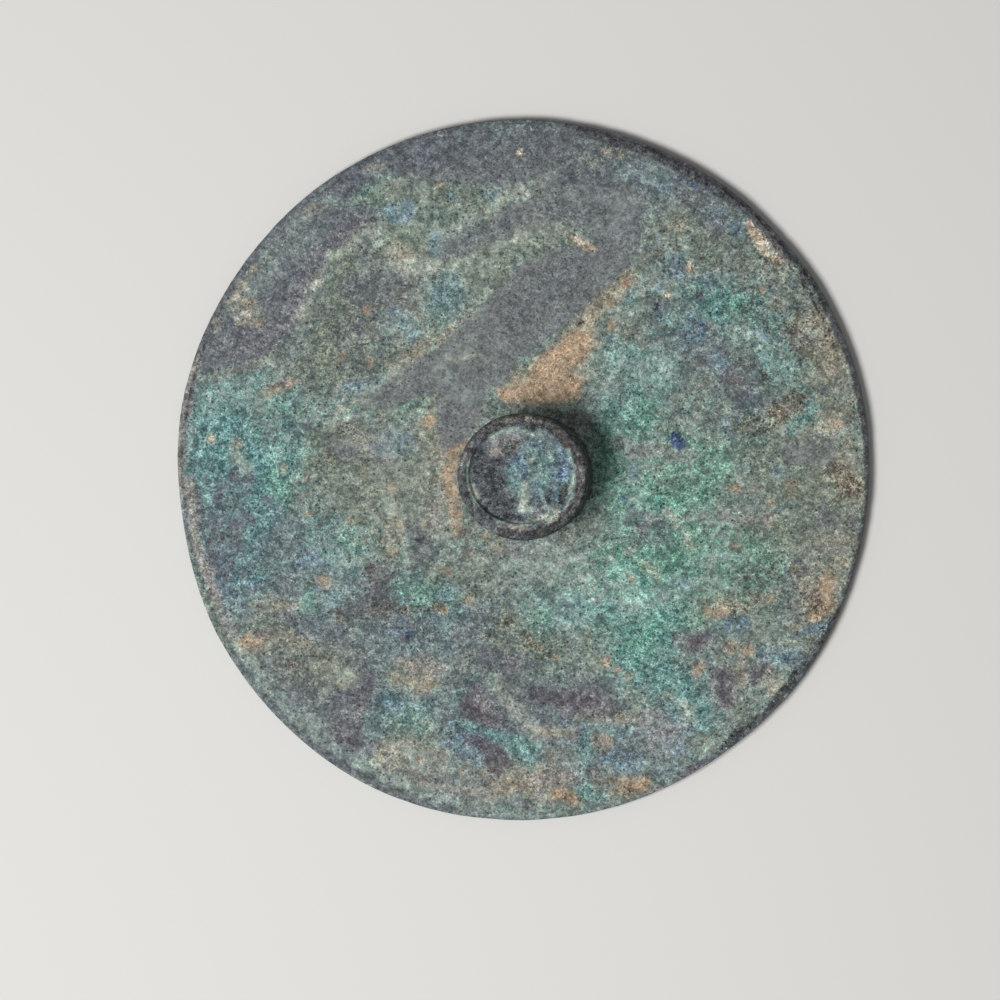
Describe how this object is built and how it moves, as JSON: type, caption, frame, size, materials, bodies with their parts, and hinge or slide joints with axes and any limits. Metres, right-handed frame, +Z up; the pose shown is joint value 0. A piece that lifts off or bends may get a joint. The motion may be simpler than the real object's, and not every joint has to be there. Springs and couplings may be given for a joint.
{
  "type": "bronze mirror",
  "caption": "Plain round cast bronze mirror with a rounded edge, a stout central knob with a sunk, worn top on its back, and a heavy green, blue and grey patina.",
  "frame": {"origin": "middle of the flat reflecting face, on the surface the mirror lies on", "axes": "+Z up through the knob, square to the disc; +X and +Y lie in the disc's plane"},
  "size_m": [0.1395, 0.1401, 0.0168],
  "materials": {
    "patinated_bronze": "dull, corroded green, blue and grey patina with earthy crust"
  },
  "bodies": {
    "root": {"mirror": "patinated_bronze"}
  },
  "joints": []
}
